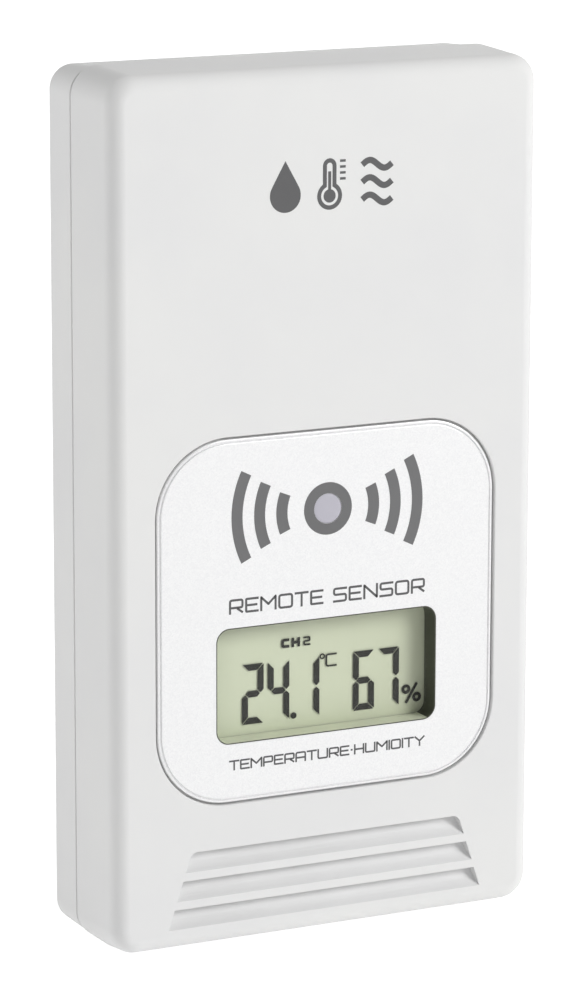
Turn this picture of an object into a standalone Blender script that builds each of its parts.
"""Wireless temperature and humidity sensor, modelled as a bench assembly.

Sizes below are millimetres and the helpers turn them into metres. The front faces -Y, +Z is up, and the
origin is under the middle of the housing, on the plane that it stands on.
"""
import math

import bmesh
import bpy
from mathutils import Matrix, Vector

MM = 0.001
GAP = 0.3                      # clearance between neighbouring pieces

# Housing
WIDTH, DEPTH, HEIGHT = 61.0, 20.0, 113.0
FRONT_Y, BACK_Y = -DEPTH / 2, DEPTH / 2
WALL = 2.0
PARTING_Y = 0.9                # rim of the front shell
FACE_INSET = 0.35              # draft of the front shell from its rim to its face
REAR_STEP = 0.4                # the rear shell is this much smaller than the rim
REAR_INSET = 0.35              # draft of the rear shell
CORNER_R = 3.9
FOOT_SLOPE_Y, FOOT_RISE = -4.5, 0.35    # the underside rises in front of this line, to the front edge
FRONT_EDGE_R, REAR_EDGE_R = 2.2, 1.0
LIP = 1.7                      # reach of the rear shell's lip into the front shell
INNER_FRONT_Y = FRONT_Y + WALL
INNER_BACK_Y = BACK_Y - WALL

# Label plate, display and lamp
PLATE_HALF, PLATE_Z, PLATE_R = (24.25, 23.9), 42.7, 10.0
PLATE_RECESS, PLATE_THICKNESS = 0.9, 0.5
WINDOW_HALF, WINDOW_Z, WINDOW_R = (15.65, 7.45), 34.3, 1.7
LAMP_Z, LAMP_R = 56.15, 1.9

# Louvres: three scallops in one trapezoid that widens downwards
LOUVRE_TOPS = (13.12, 9.44, 5.76)
LOUVRE_HEIGHT, LOUVRE_DEPTH, LOUVRE_SAG = 2.6, 1.6, 0.25
LOUVRE_HALF_AT_BASE, LOUVRE_TAPER = 23.63, 0.327
AIR_SLOT_HEIGHT, AIR_SLOT_MARGIN = 0.85, 3.5

# Boards and screws
BOARD_HALF_X, BOARD_LOW_Z, BOARD_HIGH_Z = 24.3, 15.5, 63.0
BOARD_FRONT_Y, BOARD_BACK_Y = -3.2, -1.6
BOARD_SCREWS = [(x, z) for z in (18.5, 58.5) for x in (-21.5, 21.5)]
HOUSING_SCREWS = [(x, z) for z in (7.5, 105.5) for x in (-24.5, 24.5)]
SENSOR_BOARD = ((-6.5, -5.3, 4.8), (6.5, -4.5, 13.5))

# Battery bay
BAY_HALF_X, BAY_LOW_Z, BAY_HIGH_Z = 24.4, 55.6, 89.1
CELL_BAY_LOW_Z, CELL_BAY_FLOOR_Y = 66.5, -3.0
CONTROL_FLOOR_Y = 4.5
BAY_WALL = 1.4
CELL_R, CELL_BODY_LENGTH, CELL_TIP_R, CELL_TIP_LENGTH = 5.25, 43.5, 1.9, 1.0
CELL_Y = CELL_BAY_FLOOR_Y + GAP + CELL_R
CELL_Z = (CELL_BAY_LOW_Z + GAP + CELL_R, BAY_HIGH_Z - GAP - CELL_R)
CONTACT_X, CONTACT_THICKNESS, SPRING_LENGTH = 23.7, 0.4, 2.0
COVER_LEDGE_Y, COVER_MARGIN = 8.1, 1.2
COVER_PIVOT = (0, 9.9, 55.4)

# Controls in the bay
CONTROL_Z, BUTTON_X, BUTTON_R, CAP_TOP_Y = 60.3, 14.0, 2.2, 6.0
KNOB_TRAVEL = 2.5

# Fold-out stand and wall hanger
STAND_HALF_X, STAND_PIVOT_Y, STAND_PIVOT_Z, STAND_LOW_Z = 15.0, 8.4, 47.0, 9.0
HANGER_Z, HANGER_R, HANGER_SLOT_R, HANGER_RISE = 100.5, 3.6, 1.9, 6.0


# ---- scene and helpers ------------------------------------------------------------------------------------

for leftover in list(bpy.data.objects):
    bpy.data.objects.remove(leftover, do_unlink=True)


def new_collection(name):
    group = bpy.data.collections.new(name)
    bpy.context.scene.collection.children.link(group)
    return group


PARTS = new_collection("wireless_sensor")
CUTTERS = new_collection("cutters")


def material(name, colour, roughness, metallic=0.0, alpha=1.0):
    finish = bpy.data.materials.new(name)
    finish.use_nodes = True
    shader = finish.node_tree.nodes["Principled BSDF"]
    shader.inputs["Base Color"].default_value = (*colour, 1.0)
    shader.inputs["Roughness"].default_value = roughness
    shader.inputs["Metallic"].default_value = metallic
    shader.inputs["Alpha"].default_value = alpha
    finish.diffuse_color = (*colour, alpha)
    return finish


WHITE = material("white_plastic", (0.80, 0.80, 0.79), 0.45)
SILVER = material("silver_plate", (0.78, 0.78, 0.79), 0.38, metallic=0.3)
CLEAR = material("clear_plastic", (0.95, 0.96, 0.95), 0.05, alpha=0.2)
LAMP_GREY = material("lamp_window", (0.50, 0.49, 0.55), 0.35)
LED_BODY = material("led_body", (0.75, 0.10, 0.08), 0.20)
LCD_GLASS = material("display_glass", (0.58, 0.64, 0.44), 0.15)
DARK = material("dark_plastic", (0.05, 0.05, 0.05), 0.50)
ZEBRA = material("zebra_rubber", (0.20, 0.20, 0.21), 0.80)
BOARD = material("circuit_board", (0.03, 0.22, 0.08), 0.40)
CHIP = material("chip_black", (0.02, 0.02, 0.02), 0.35)
STEEL = material("plated_steel", (0.70, 0.70, 0.68), 0.30, metallic=1.0)
BRASS = material("antenna_wire", (0.72, 0.52, 0.20), 0.30, metallic=1.0)
RIBBON = material("ribbon_grey", (0.45, 0.46, 0.48), 0.55)
KEY_GREY = material("key_grey", (0.42, 0.43, 0.44), 0.50)
CELL_WRAP = material("cell_wrap", (0.10, 0.11, 0.13), 0.30)
RED_WIRE = material("red_wire", (0.55, 0.03, 0.03), 0.50)
BLACK_WIRE = material("black_wire", (0.02, 0.02, 0.02), 0.50)


def metres(point):
    return Vector(point) * MM


def place(name, mesh, finish, origin=(0, 0, 0)):
    """Link a mesh whose points are in metres; a finish of None makes it a cutter or an added shape."""
    obj = bpy.data.objects.new(name, mesh)
    mesh.transform(Matrix.Translation(-metres(origin)))
    obj.location = metres(origin)
    if finish is None:
        CUTTERS.objects.link(obj)
        obj.hide_render = True
        obj.display_type = 'WIRE'
    else:
        PARTS.objects.link(obj)
        mesh.materials.append(finish)
    return obj


def finish_bmesh(shape, name, finish, origin):
    bmesh.ops.recalc_face_normals(shape, faces=shape.faces)
    mesh = bpy.data.meshes.new(name)
    shape.to_mesh(mesh)
    shape.free()
    return place(name, mesh, finish, origin)


def box(name, low, high, finish=None, radius=0.0, axis=1, steps=4, origin=(0, 0, 0)):
    """A box from corner to corner, its edges along one axis rounded when a radius is given."""
    shape = bmesh.new()
    bmesh.ops.create_cube(shape, size=1.0)
    low, high = metres(low), metres(high)
    for vertex in shape.verts:
        vertex.co = Vector((low[i] + (vertex.co[i] + 0.5) * (high[i] - low[i]) for i in range(3)))
    if radius:
        edges = [e for e in shape.edges if abs((e.verts[0].co - e.verts[1].co).normalized()[axis]) > 0.99]
        bmesh.ops.bevel(shape, geom=edges, offset=radius * MM, segments=steps, affect='EDGES', profile=0.5)
    return finish_bmesh(shape, name, finish, origin)


def cylinder(name, start, end, radius, finish=None, sides=24):
    """A cylinder between two points."""
    start, end = metres(start), metres(end)
    shape = bmesh.new()
    turn = (end - start).to_track_quat('Z', 'Y').to_matrix().to_4x4()
    where = Matrix.Translation((start + end) / 2) @ turn
    bmesh.ops.create_cone(shape, cap_ends=True, segments=sides, radius1=radius * MM, radius2=radius * MM,
                          depth=(end - start).length, matrix=where)
    return finish_bmesh(shape, name, finish, (0, 0, 0))


def turned(name, profile, centre, axis, finish, sides=24):
    """A solid of revolution. The profile is (radius, distance along the axis) and starts and ends at 0."""
    mesh = bpy.data.meshes.new(name)
    points = [Vector((r, 0, height)) * MM for r, height in profile]
    mesh.from_pydata(points, [(i, i + 1) for i in range(len(points) - 1)], [])
    obj = place(name, mesh, finish)
    obj.rotation_euler = Vector((0, 0, 1)).rotation_difference(Vector(axis)).to_euler()
    obj.location = metres(centre)
    screw = obj.modifiers.new("turn", 'SCREW')
    screw.steps = screw.render_steps = sides
    screw.use_merge_vertices = True
    screw.merge_threshold = 0.00001
    screw.use_smooth_shade = True
    return obj


def loft(name, rings, finish=None):
    """A closed solid through rings of equal length, with flat end caps. Points are millimetres."""
    shape = bmesh.new()
    loops = [[shape.verts.new(metres(point)) for point in ring] for ring in rings]
    count = len(loops[0])
    for lower, upper in zip(loops, loops[1:]):
        for i in range(count):
            j = (i + 1) % count
            shape.faces.new((lower[i], lower[j], upper[j], upper[i]))
    shape.faces.new(loops[0])
    shape.faces.new(loops[-1])
    return finish_bmesh(shape, name, finish, (0, 0, 0))


def rounded_ring(y, half_x, low_z, high_z, radius, steps=5):
    """Points of a rounded rectangle at a given depth."""
    ring = []
    corners = ((1, 1, 0), (-1, 1, 90), (-1, -1, 180), (1, -1, 270))
    for side_x, side_z, start in corners:
        centre_x = side_x * (half_x - radius)
        centre_z = (high_z - radius) if side_z > 0 else (low_z + radius)
        for i in range(steps + 1):
            angle = math.radians(start + 90 * i / steps)
            ring.append((centre_x + radius * math.cos(angle), y, centre_z + radius * math.sin(angle)))
    return ring


def wire(name, points, radius, finish):
    """A round wire along a poly line, with closed ends."""
    curve = bpy.data.curves.new(name, 'CURVE')
    curve.dimensions = '3D'
    curve.bevel_depth = radius * MM
    curve.bevel_resolution = 2
    curve.use_fill_caps = True
    spline = curve.splines.new('POLY')
    spline.points.add(len(points) - 1)
    for slot, point in zip(spline.points, points):
        slot.co = (*metres(point), 1.0)
    obj = bpy.data.objects.new(name, curve)
    PARTS.objects.link(obj)
    curve.materials.append(finish)
    return obj


def smooth_route(points, steps=5):
    """A Catmull-Rom curve through the given points."""
    knots = [Vector(p) for p in points]
    knots = [2 * knots[0] - knots[1], *knots, 2 * knots[-1] - knots[-2]]
    route = []
    for a, b, c, d in zip(knots, knots[1:], knots[2:], knots[3:]):
        for i in range(steps):
            t = i / steps
            route.append(0.5 * (2 * b + (c - a) * t + (2 * a - 5 * b + 4 * c - d) * t * t
                                + (3 * b - a - 3 * c + d) * t ** 3))
    route.append(knots[-2])
    return route


def combine(target, tool, operation):
    modifier = target.modifiers.new(tool.name, 'BOOLEAN')
    modifier.operation = operation
    modifier.solver = 'EXACT'
    modifier.object = tool


def cut(target, *tools):
    for tool in tools:
        combine(target, tool, 'DIFFERENCE')


def join(target, *shapes):
    for shape in shapes:
        combine(target, shape, 'UNION')


def rounded_hole(name, y_range, half, centre_z, radius):
    """A cutter for a rounded window or recess centred on the front."""
    low = (-half[0], y_range[0], centre_z - half[1])
    high = (half[0], y_range[1], centre_z + half[1])
    return box(name, low, high, radius=radius, steps=8)


# ---- housing ----------------------------------------------------------------------------------------------

def front_outline():
    """Rings of the front shell's outside: straight draft, then the rounded front edge."""
    half, top = WIDTH / 2, HEIGHT
    draft = FACE_INSET * (PARTING_Y - FOOT_SLOPE_Y) / (PARTING_Y - FRONT_Y - FRONT_EDGE_R)
    rings = [rounded_ring(PARTING_Y, half, 0, top, CORNER_R),
             rounded_ring(FOOT_SLOPE_Y, half - draft, 0, top - draft, CORNER_R - draft)]
    edge_steps = 5
    for i in range(edge_steps + 1):
        angle = math.pi / 2 * i / edge_steps
        inset = FRONT_EDGE_R * (1 - math.cos(angle))
        y = FRONT_Y + FRONT_EDGE_R * (1 - math.sin(angle))
        side = FACE_INSET + inset
        rings.append(rounded_ring(y, half - side, FOOT_RISE + inset, top - side, CORNER_R - side))
    return rings


def louvre_half_width(z):
    return LOUVRE_HALF_AT_BASE - LOUVRE_TAPER * z


def louvre_cutter(index, top_z):
    """A scallop: deepest at its top edge, with a hollow floor that comes out to the face at the bottom."""
    rings = []
    steps = 5
    for i in range(steps + 1):
        t = i / steps
        z = top_z - LOUVRE_HEIGHT * (1 - t)
        depth = LOUVRE_DEPTH * t + LOUVRE_SAG * 4 * t * (1 - t)
        half = louvre_half_width(z)
        back = FRONT_Y + depth
        rings.append([(-half, FRONT_Y - 1, z), (half, FRONT_Y - 1, z), (half, back, z), (-half, back, z)])
    return loft(f"louvre_{index}", rings)


def air_slot_cutter(index, top_z):
    """The air slot behind the strip above each scallop."""
    half = louvre_half_width(top_z) - AIR_SLOT_MARGIN
    low_z = top_z - 0.35
    return box(f"air_slot_{index}", (-half, FRONT_Y + 1.25, low_z), (half, -6.6, low_z + AIR_SLOT_HEIGHT))


def make_front_shell():
    shell = loft("front_shell", front_outline(), WHITE)
    cavity = loft("front_cavity", [
        rounded_ring(PARTING_Y + 1, WIDTH / 2 - 2.2, WALL, HEIGHT - 2.3, 2.0),
        rounded_ring(INNER_FRONT_Y, WIDTH / 2 - 2.35, WALL, HEIGHT - 2.45, 1.8)])
    cut(shell, cavity)
    join(shell, box("louvre_pad", (-24.5, -8.5, 1.0), (24.5, -6.8, 15.5)))
    for i, (x, z) in enumerate(HOUSING_SCREWS):
        join(shell, cylinder(f"front_post_{i}", (x, -8.5, z), (x, -1.1, z), 3.0, sides=20))
    for i, (x, z) in enumerate(BOARD_SCREWS):
        join(shell, cylinder(f"board_post_{i}", (x, -8.5, z), (x, BOARD_FRONT_Y - GAP, z), 2.2, sides=16))
    for side in (-1, 1):
        inner, outer = sorted((side * 5.9, side * 8.6))
        join(shell, box(f"sensor_rail_{side}", (inner, -7.1, 3.5), (outer, -3.5, 14.0)))
    low, high = SENSOR_BOARD
    cut(shell, box("rail_slot", (low[0] - GAP, low[1] - GAP, low[2] - GAP),
                   (high[0] + GAP, high[1] + GAP, high[2] + 1)))
    for i, top_z in enumerate(LOUVRE_TOPS, 1):
        cut(shell, louvre_cutter(i, top_z), air_slot_cutter(i, top_z))
    cut(shell,
        rounded_hole("plate_recess", (FRONT_Y - 1, FRONT_Y + PLATE_RECESS), PLATE_HALF, PLATE_Z, PLATE_R),
        rounded_hole("window_hole", (FRONT_Y - 1, -6), (WINDOW_HALF[0] + 0.2, WINDOW_HALF[1] + 0.2),
                     WINDOW_Z, WINDOW_R + 0.2),
        cylinder("lamp_hole", (0, FRONT_Y - 1, LAMP_Z), (0, -6, LAMP_Z), LAMP_R + GAP))
    for i, (x, z) in enumerate(HOUSING_SCREWS):
        cut(shell, cylinder(f"front_pilot_{i}", (x, -6.5, z), (x, 1, z), 1.4, sides=12))
    for i, (x, z) in enumerate(BOARD_SCREWS):
        cut(shell, cylinder(f"board_pilot_{i}", (x, -7.2, z), (x, -3, z), 1.0, sides=12))
    return shell


def rear_outline():
    """Rings of the rear shell's outside: the parting rim, the draft and the rounded back edge."""
    half, top = WIDTH / 2 - REAR_STEP, HEIGHT - REAR_STEP
    rings = [rounded_ring(PARTING_Y + GAP, half, 0, top, CORNER_R - REAR_STEP)]
    edge_steps = 3
    for i in range(edge_steps + 1):
        angle = math.pi / 2 * i / edge_steps
        inset = REAR_EDGE_R * (1 - math.cos(angle))
        y = BACK_Y - REAR_EDGE_R * (1 - math.sin(angle))
        side = REAR_INSET + inset
        rings.append(rounded_ring(y, half - side, inset, top - side, CORNER_R - REAR_STEP - side))
    return rings


def make_rear_shell():
    shell = loft("rear_shell", rear_outline(), WHITE)
    lip_front = PARTING_Y - LIP
    lip_half, lip_low, lip_high = WIDTH / 2 - 2.5, WALL + GAP, HEIGHT - 2.6
    join(shell, loft("lip", [rounded_ring(lip_front, lip_half, lip_low, lip_high, 1.7),
                             rounded_ring(2.0, lip_half, lip_low, lip_high, 1.7)]))
    cut(shell, loft("rear_cavity", [
        rounded_ring(lip_front - 1, lip_half - 1, lip_low + 1, lip_high - 1, 1.2),
        rounded_ring(2.4, lip_half - 1, lip_low + 1, lip_high - 1, 1.2),
        rounded_ring(3.2, WIDTH / 2 - 2.4, WALL, HEIGHT - 2.4, 1.6),
        rounded_ring(INNER_BACK_Y, WIDTH / 2 - 2.5, WALL, HEIGHT - 2.5, 1.6)]))
    for i, (x, z) in enumerate(HOUSING_SCREWS):
        join(shell, cylinder(f"rear_post_{i}", (x, lip_front + 0.15, z), (x, 3, z), 3.0, sides=18),
             cylinder(f"rear_post_base_{i}", (x, 2.0, z), (x, 9, z), 4.2, sides=18))
    add_bay(shell)
    add_stand_pocket(shell)
    counterbore = [(0, 13), (3.0, 13), (3.0, 8.8), (1.5, 8.8), (1.5, 0), (0, 0)]
    for i, (x, z) in enumerate(HOUSING_SCREWS):
        cut(shell, turned(f"screw_hole_{i}", counterbore, (x, -2, z), (0, 1, 0), None, sides=18))
    cut(shell,
        cylinder("hanger_head", (0, 7, HANGER_Z), (0, 11, HANGER_Z), HANGER_R, sides=32),
        box("hanger_slot", (-HANGER_SLOT_R, 7, HANGER_Z), (HANGER_SLOT_R, 11, HANGER_Z + HANGER_RISE)),
        cylinder("hanger_top", (0, 7, HANGER_Z + HANGER_RISE), (0, 11, HANGER_Z + HANGER_RISE),
                 HANGER_SLOT_R + 0.02, sides=24))
    return shell


def add_bay(shell):
    """The battery tub, its shallow control shelf and the recess for the cover."""
    half, low, high = BAY_HALF_X, BAY_LOW_Z, BAY_HIGH_Z
    wall_half = WIDTH / 2 - 3.3
    join(shell,
         box("bay_block", (-wall_half, CONTROL_FLOOR_Y - BAY_WALL, low - 3.4), (wall_half, 9, high + 2.4)),
         box("cell_block", (-wall_half, CELL_BAY_FLOOR_Y - 1.2, CELL_BAY_LOW_Z - BAY_WALL),
             (wall_half, 4, high + BAY_WALL)))
    margin = COVER_MARGIN
    cut(shell,
        box("cell_space", (-half, CELL_BAY_FLOOR_Y, CELL_BAY_LOW_Z), (half, 8.5, high)),
        box("control_space", (-half, CONTROL_FLOOR_Y, low), (half, 8.5, CELL_BAY_LOW_Z + 1)),
        box("cover_recess", (-half - margin, COVER_LEDGE_Y, low - 1.0), (half + margin, 11, high + 1.0),
            radius=1.8))
    for side in (-1, 1):
        inner, outer = sorted((side * 11.7, side * 18.3))
        cut(shell, box(f"tab_pocket_{side}", (inner, 7.5, low - 2.1), (outer, 9.5, low + 2.0)),
            cylinder(f"button_hole_{side}", (side * BUTTON_X, 2, CONTROL_Z), (side * BUTTON_X, 6, CONTROL_Z),
                     BUTTON_R + GAP, sides=24))
    slot_half = 1.0 + KNOB_TRAVEL + GAP
    cut(shell,
        box("knob_slot", (-slot_half, 2, CONTROL_Z - 1.1), (slot_half, 6, CONTROL_Z + 1.1)),
        cylinder("finger_scoop", (-6, 11.5, high + 1.5), (6, 11.5, high + 1.5), 3.0, sides=32),
        cylinder("negative_exit", (22.8, -1.6, 60), (22.8, -1.6, 67.5), 0.95, sides=12),
        cylinder("positive_exit", (22.9, -6, 77.7), (22.9, -2, 77.7), 1.2, sides=12))


def add_stand_pocket(shell):
    """The pocket that the folded stand lies in, with the two pivot holes."""
    half = STAND_HALF_X
    join(shell, box("stand_block", (-half - 2.9, 5.2, 3.6), (half + 2.9, 9, 50.4)))
    cut(shell,
        box("stand_recess", (-half - GAP, 6.6, 5.0), (half + GAP, 11, 49.0), radius=0.5),
        cylinder("stand_pivot_hole", (-half - 1.6, STAND_PIVOT_Y, STAND_PIVOT_Z),
                 (half + 1.6, STAND_PIVOT_Y, STAND_PIVOT_Z), 1.3, sides=20))


# ---- label plate, display and lamp ------------------------------------------------------------------------

def make_front_fittings():
    plate_front = FRONT_Y + 0.1
    plate_half = (PLATE_HALF[0] - GAP, PLATE_HALF[1] - GAP)
    plate = box("display_plate", (-plate_half[0], plate_front, PLATE_Z - plate_half[1]),
                (plate_half[0], plate_front + PLATE_THICKNESS, PLATE_Z + plate_half[1]), SILVER,
                radius=PLATE_R - GAP, steps=8)
    cut(plate, rounded_hole("plate_window", (FRONT_Y - 1, -9), WINDOW_HALF, WINDOW_Z, WINDOW_R),
        cylinder("plate_lamp_hole", (0, FRONT_Y - 1, LAMP_Z), (0, -9, LAMP_Z), LAMP_R + GAP))

    guide = [(0, 3.0), (LAMP_R, 3.0), (LAMP_R, 0.8), (2.9, 0.8), (2.9, 0), (0, 0)]
    turned("light_guide", guide, (0, -6.9, LAMP_Z), (0, -1, 0), LAMP_GREY)
    dome = [(1.5 * math.sin(a), 1.6 + 1.5 * math.cos(a)) for a in (i * math.pi / 8 for i in range(1, 5))]
    led = [(0, 3.1), *dome, (1.5, 0.7), (1.85, 0.7), (1.85, 0), (0, 0)]
    turned("led", led, (0, BOARD_FRONT_Y - GAP, LAMP_Z), (0, -1, 0), LED_BODY, sides=16)

    z = WINDOW_Z
    box("lcd_window", (-17.2, -7.7, z - 9.4), (17.2, -7.3, z + 9.4), CLEAR)
    box("lcd_panel", (-17.2, -7.0, z - 9.4), (17.2, -5.4, z + 9.4), LCD_GLASS)
    holder = box("lcd_frame", (-19.3, -7.7, z - 12), (19.3, BOARD_FRONT_Y - GAP, z + 12), DARK, radius=1.0)
    cut(holder, box("holder_space", (-17.6, -9, z - 9.9), (17.6, -2, z + 9.9)))
    for name, centre_z in (("zebra_strip_upper", z + 8.6), ("zebra_strip_lower", z - 8.6)):
        box(name, (-15, -5.1, centre_z - 0.9), (15, BOARD_FRONT_Y - GAP, centre_z + 0.9), ZEBRA)


# ---- boards -----------------------------------------------------------------------------------------------

def make_boards():
    board = box("main_circuit_board", (-BOARD_HALF_X, BOARD_FRONT_Y, BOARD_LOW_Z),
                (BOARD_HALF_X, BOARD_BACK_Y, BOARD_HIGH_Z), BOARD, radius=1.5)
    for i, (x, z) in enumerate(BOARD_SCREWS):
        cut(board, cylinder(f"board_hole_{i}", (x, -5, z), (x, 0, z), 1.1, sides=16))
    top = BOARD_BACK_Y + GAP
    box("controller_chip", (-12, top, 28), (-2, top + 1.4, 38), CHIP)
    box("rf_module", (8, top, 36), (20, top + 2.3, 50), STEEL, radius=0.6)
    turned("crystal", [(0, 6), (0.8, 6), (1, 5.8), (1, 0.2), (0.8, 0), (0, 0)], (-12, top + 1.0, 43),
           (1, 0, 0), STEEL, sides=16)
    turned("capacitor", [(0, 5.5), (2.2, 5.5), (2.5, 5.2), (2.5, 0.3), (2.2, 0), (0, 0)], (12, top, 24),
           (0, 1, 0), CHIP, sides=20)
    make_antenna(top)

    box("sensor_board", *SENSOR_BOARD, BOARD, radius=0.4)
    front = SENSOR_BOARD[0][1] - GAP
    sensor = box("humidity_sensor", (-1.5, front - 0.9, 7.5), (1.5, front, 10.5), CHIP)
    cut(sensor, cylinder("sensor_port", (0, front - 2, 9), (0, front - 0.5, 9), 0.6, sides=12))
    make_ribbon(top)


def make_antenna(top):
    turns, steps, coil_r, wire_r, pitch = 9, 10, 1.6, 0.3, 1.6
    x, y, low_z = -19.0, top + 2.5, 33.0
    coil = [(x + coil_r * math.cos(2 * math.pi * i / steps), y + coil_r * math.sin(2 * math.pi * i / steps),
             low_z + pitch * i / steps) for i in range(turns * steps + 1)]
    wire("antenna", [(x + coil_r, top + wire_r, low_z - 3), (x + coil_r, top + wire_r, low_z - 1.8), *coil],
         wire_r, BRASS)


def make_ribbon(top):
    """A flat ribbon from the sensor board's back, round the main board's lower edge, to its back."""
    half_width, thickness = 3.5, 0.5
    sensor_y, main_y = SENSOR_BOARD[1][1] + GAP, top
    path = [(sensor_y, 10.8), (sensor_y, 12.6), (main_y, 14.6), (main_y, 19.0)]
    shape = bmesh.new()
    rows = [[shape.verts.new(metres((x, y, z))) for x in (-half_width, half_width)] for y, z in path]
    for lower, upper in zip(rows, rows[1:]):
        shape.faces.new((lower[0], upper[0], upper[1], lower[1]))
    mesh = bpy.data.meshes.new("sensor_ribbon")
    shape.to_mesh(mesh)
    shape.free()
    ribbon = place("sensor_ribbon", mesh, RIBBON)
    solid = ribbon.modifiers.new("thickness", 'SOLIDIFY')
    solid.thickness = thickness * MM
    solid.offset = 1.0
    solid.use_even_offset = True


# ---- battery bay ------------------------------------------------------------------------------------------

def make_cells():
    body_end = CELL_BODY_LENGTH
    profile = [(0, body_end + CELL_TIP_LENGTH), (CELL_TIP_R, body_end + CELL_TIP_LENGTH),
               (CELL_TIP_R, body_end), (CELL_R - 0.5, body_end), (CELL_R, body_end - 0.5), (CELL_R, 0.5),
               (CELL_R - 0.5, 0), (0, 0)]
    flat_end = CONTACT_X - GAP - CELL_TIP_LENGTH - CELL_BODY_LENGTH
    turned("battery_upper", profile, (flat_end, CELL_Y, CELL_Z[1]), (1, 0, 0), CELL_WRAP, sides=32)
    turned("battery_lower", profile, (-flat_end, CELL_Y, CELL_Z[0]), (-1, 0, 0), CELL_WRAP, sides=32)
    spring_half_turns, steps, wire_r = 5, 8, 0.3
    for name, side, z in (("battery_spring_upper", -1, CELL_Z[1]), ("battery_spring_lower", 1, CELL_Z[0])):
        count = spring_half_turns * steps
        points = []
        for i in range(count + 1):
            t = i / count
            angle = math.pi * spring_half_turns * t
            radius = 3.9 - 1.9 * t
            x = side * (CONTACT_X - GAP - wire_r - (SPRING_LENGTH - 2 * wire_r) * t)
            points.append((x, CELL_Y + radius * math.cos(angle), z + radius * math.sin(angle)))
        wire(name, points, wire_r, STEEL)


def contact_plate(name, side, low_z, high_z):
    near, far = sorted((side * CONTACT_X, side * (CONTACT_X + CONTACT_THICKNESS)))
    return box(name, (near, -1.5, low_z), (far, 6.6, high_z), STEEL)


def make_contacts():
    half = 4.1
    contact_plate("contact_bridge", -1, CELL_Z[0] - half, CELL_Z[1] + half)
    contact_plate("contact_upper", 1, CELL_Z[1] - half, CELL_Z[1] + half)
    contact_plate("contact_lower", 1, CELL_Z[0] - half, CELL_Z[0] + half)
    lead_r = 0.5
    positive = [(22.9, -1.7, 78.6), (22.9, -2.8, 77.8), (22.9, -4.4, 77.4), (22.9, -5.6, 75.6),
                (22.9, -5.8, 71.0), (22.4, -5.6, 67.0), (20.5, -4.8, 64.0), (18.2, -4.0, 62.0), (16.5, -4.0, 61.2)]
    negative = [(22.8, -1.6, 67.6), (22.8, -1.6, 65.8), (22.7, -1.3, 64.4), (22.3, -0.75, 63.0),
                (21.8, -0.75, 61.4)]
    wire("lead_positive", smooth_route(positive, 4), lead_r, RED_WIRE)
    wire("lead_negative", smooth_route(negative, 4), lead_r, BLACK_WIRE)


def make_battery_cover():
    half, low, high = BAY_HALF_X + COVER_MARGIN - GAP, BAY_LOW_Z - 1.0 + GAP, BAY_HIGH_Z + 1.0 - GAP
    inner, outer = COVER_LEDGE_Y + GAP, BACK_Y - 0.1
    cover = box("battery_cover", (-half, inner, low), (half, outer, high), WHITE, radius=1.5,
                origin=COVER_PIVOT)
    for side in (-1, 1):
        near, far = sorted((side * 12, side * 18))
        join(cover, box(f"cover_tab_{side}", (near, inner, low - 1.0), (far, inner + 0.8, low + 0.6)))
    join(cover, box("cover_latch", (-4, 6.8, 87.6), (4, inner + 0.2, 88.8)))
    for i in range(5):
        groove_z = high - 3.0 - 1.5 * i
        cut(cover, box(f"grip_groove_{i}", (-7, outer - 0.4, groove_z - 0.35), (7, 11, groove_z + 0.35)))


# ---- controls ---------------------------------------------------------------------------------------------

def make_controls():
    top = BOARD_BACK_Y + GAP
    cap = [(0, CAP_TOP_Y), (BUTTON_R - 0.4, CAP_TOP_Y), (BUTTON_R, CAP_TOP_Y - 0.4), (BUTTON_R, 2.8),
           (3.0, 2.8), (3.0, 2.0), (0, 2.0)]
    for side, switch_name, cap_name in ((-1, "tact_switch_left", "unit_button"),
                                        (1, "tact_switch_right", "transmit_button")):
        x = side * BUTTON_X
        z = CONTROL_Z
        switch = box(switch_name, (x - 2.4, top, z - 2.4), (x + 2.4, 0.7, z + 2.4), CHIP)
        join(switch, cylinder(f"{switch_name}_plunger", (x, 0.5, z), (x, 1.2, z), 1.2, sides=16))
        turned(cap_name, cap, (x, 0, z), (0, 1, 0), KEY_GREY)
    z = CONTROL_Z
    box("slide_switch", (-4.5, top, z - 2.4), (4.5, 1.2, z + 2.4), STEEL)
    knob = box("channel_knob", (-1.0, 1.9, z - 0.8), (1.0, CAP_TOP_Y, z + 0.8), KEY_GREY, origin=(0, 4, z))
    join(knob, box("knob_flange", (-2.2, 1.8, z - 1.6), (2.2, 2.7, z + 1.6)))


# ---- stand and screws -------------------------------------------------------------------------------------

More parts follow.
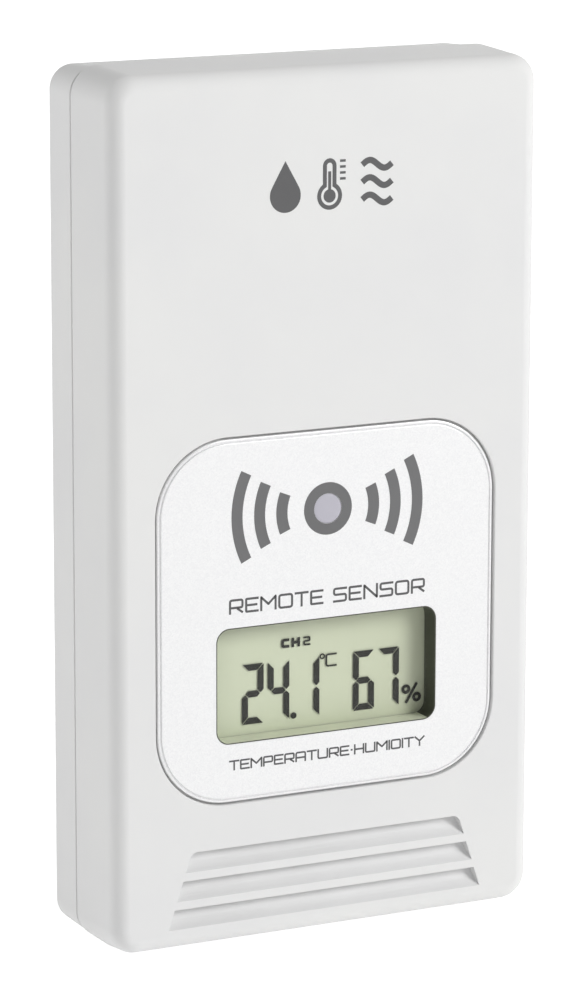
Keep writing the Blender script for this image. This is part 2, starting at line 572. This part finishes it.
def make_stand():
    pivot = (0, STAND_PIVOT_Y, STAND_PIVOT_Z)
    half = STAND_HALF_X
    leg = box("stand", (-half, 7.7, STAND_LOW_Z), (half, 9.5, STAND_PIVOT_Z), WHITE, origin=pivot)
    join(leg,
         cylinder("stand_barrel", (-half, STAND_PIVOT_Y, STAND_PIVOT_Z), (half, STAND_PIVOT_Y, STAND_PIVOT_Z),
                  1.4, sides=24),
         cylinder("stand_stub", (-half - 1.3, STAND_PIVOT_Y, STAND_PIVOT_Z),
                  (half + 1.3, STAND_PIVOT_Y, STAND_PIVOT_Z), 1.0, sides=16))
    foot = box("stand_foot_outline", (-half - 5, 6, STAND_LOW_Z), (half + 5, 11, STAND_PIVOT_Z + 5))
    foot_corners = box("stand_corners", (-half + 0.02, 5, STAND_LOW_Z + 0.02),
                       (half - 0.02, 12, STAND_PIVOT_Z + 10), radius=4.0)
    cut(foot, foot_corners, box("stand_keep", (-half - 9, 5, STAND_LOW_Z + 6), (half + 9, 12, STAND_PIVOT_Z + 9)))
    cut(leg, foot, box("stand_panel", (-half + 4, 9.1, STAND_LOW_Z + 5), (half - 4, 11, STAND_PIVOT_Z - 6),
                       radius=2.0))


def screw_piece(name, x, z, head_y, head_r, head_height, shank_r, tip_y):
    """A self-tapping screw along Y: domed head towards the back, plain shank and a cross recess."""
    length = head_y - tip_y
    profile = [(0, length + head_height), (head_r * 0.6, length + head_height),
               (head_r, length + head_height * 0.5), (head_r, length), (shank_r, length),
               (shank_r, shank_r * 1.5), (shank_r * 0.3, 0), (0, 0)]
    screw = turned(name, profile, (x, tip_y, z), (0, 1, 0), STEEL, sides=16)
    arm, half = head_r * 0.55, head_r * 0.12
    top = head_y + head_height
    for label, size_x, size_z in (("a", arm, half), ("b", half, arm)):
        cut(screw, box(f"{name}_cross_{label}", (x - size_x, top - head_height * 0.55, z - size_z),
                       (x + size_x, top + 1, z + size_z)))


def make_screws():
    for i, (x, z) in enumerate(HOUSING_SCREWS, 1):
        screw_piece(f"housing_screw_{i}", x, z, 7.1, 2.6, 1.7, 1.1, -5.9)
    for i, (x, z) in enumerate(BOARD_SCREWS, 1):
        screw_piece(f"board_screw_{i}", x, z, BOARD_BACK_Y + GAP, 1.9, 1.2, 0.7, -6.8)


make_front_shell()
make_rear_shell()
make_front_fittings()
make_boards()
make_cells()
make_contacts()
make_battery_cover()
make_controls()
make_stand()
make_screws()
